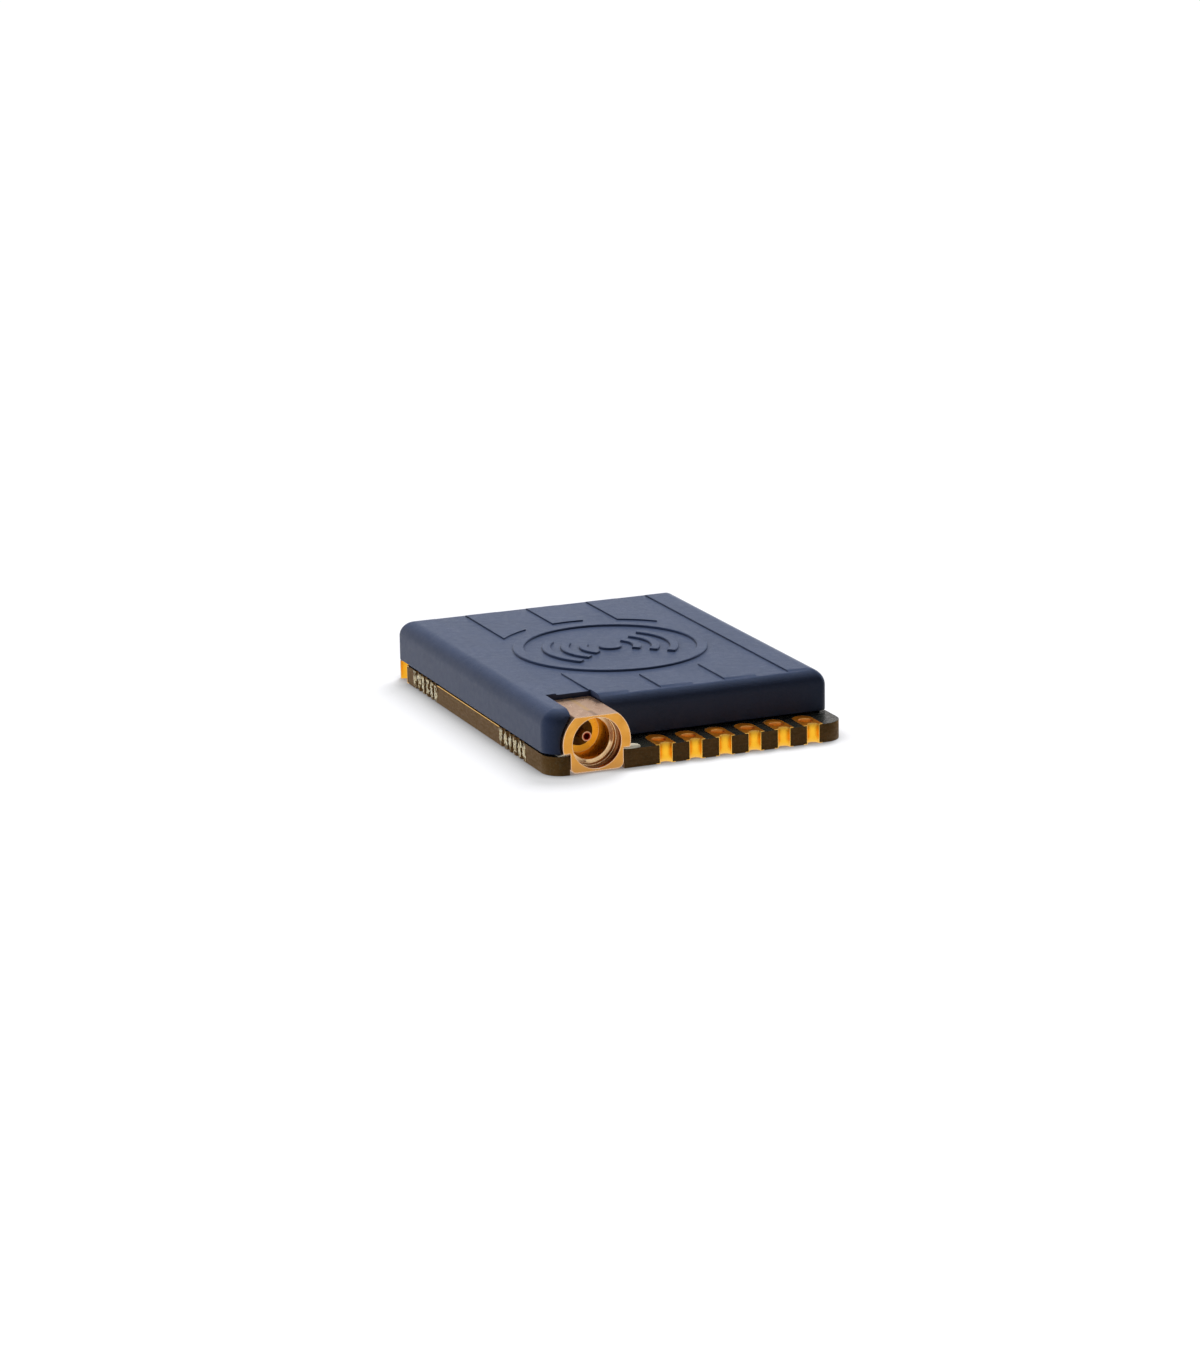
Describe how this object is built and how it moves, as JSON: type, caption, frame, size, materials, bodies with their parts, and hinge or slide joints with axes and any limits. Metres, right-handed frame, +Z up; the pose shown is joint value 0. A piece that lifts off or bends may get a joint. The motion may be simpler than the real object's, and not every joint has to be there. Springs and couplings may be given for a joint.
{
  "type": "fpv video transmitter",
  "caption": "Thin board-mount video transmitter: castellated circuit board under a moulded cover with raised strips and ring, a push-fit coax jack and a side button.",
  "frame": {"origin": "on the underside, in the middle of the board's outline", "axes": "+X across the module to the right of the jack, +Y along it away from the jack and pads, +Z up through the cover"},
  "size_m": [0.02, 0.027, 0.004],
  "materials": {
    "cover_plastic": "fine matte moulding texture",
    "glass_fibre_board": "dark solder mask over glass fibre",
    "gold_plate": "gold plating over copper",
    "jack_brass": "satin plated brass",
    "contact_gold": "gold plating",
    "jack_bead": "turned plastic",
    "solder": "bright solder",
    "tinned_sheet": "tinned sheet",
    "spring_steel": "bright sheet",
    "foam_tape": "dull tape edge",
    "thermal_silicone": "soft silicone",
    "chip_epoxy": "moulded epoxy",
    "tan_ceramic": "fired ceramic",
    "resistor_ceramic": "glazed black top",
    "ferrite": "pressed ferrite",
    "black_moulding": "moulded plastic",
    "button_plastic": "moulded plastic",
    "red_lamp": "clear tinted resin",
    "green_lamp": "clear tinted resin",
    "blue_lamp": "clear tinted resin"
  },
  "bodies": {
    "module": {"bottom_ground_pad": "gold_plate", "bulk_capacitors": "tan_ceramic", "button_case": "black_moulding", "button_dome": "spring_steel", "button_shell": "spring_steel", "button_terminals": "solder", "castellated_pads": "gold_plate", "chip_capacitors": "tan_ceramic", "chip_resistors": "resistor_ceramic", "circuit_board": "glass_fibre_board", "corner_pads": "gold_plate", "cover_adhesive": "foam_tape", "crystal": "tinned_sheet", "edge_copper_strips": "gold_plate", "jack_body": "jack_brass", "jack_contact": "contact_gold", "jack_insulator": "jack_bead", "jack_solder_joints": "solder", "lamp_blue": "blue_lamp", "lamp_green": "green_lamp", "lamp_red": "red_lamp", "linear_regulator": "chip_epoxy", "low_pass_filter": "resistor_ceramic", "microcontroller": "chip_epoxy", "moulded_cover": "cover_plastic", "power_amplifier_chip": "chip_epoxy", "power_inductor": "ferrite", "radio_chip": "chip_epoxy", "shield_frame": "tinned_sheet", "shield_lid": "tinned_sheet", "step_down_regulator": "chip_epoxy", "test_pads": "gold_plate", "thermal_gap_pad": "thermal_silicone"},
    "button": {"button_plunger": "button_plastic"}
  },
  "joints": [
    {"name": "button_press", "type": "slide", "parent": "module", "child": "button", "axis": [-1, 0, 0], "range_m": [0, 0.0002], "stiffness_N_per_m": 6000, "springref_m": -0.00003}
  ]
}
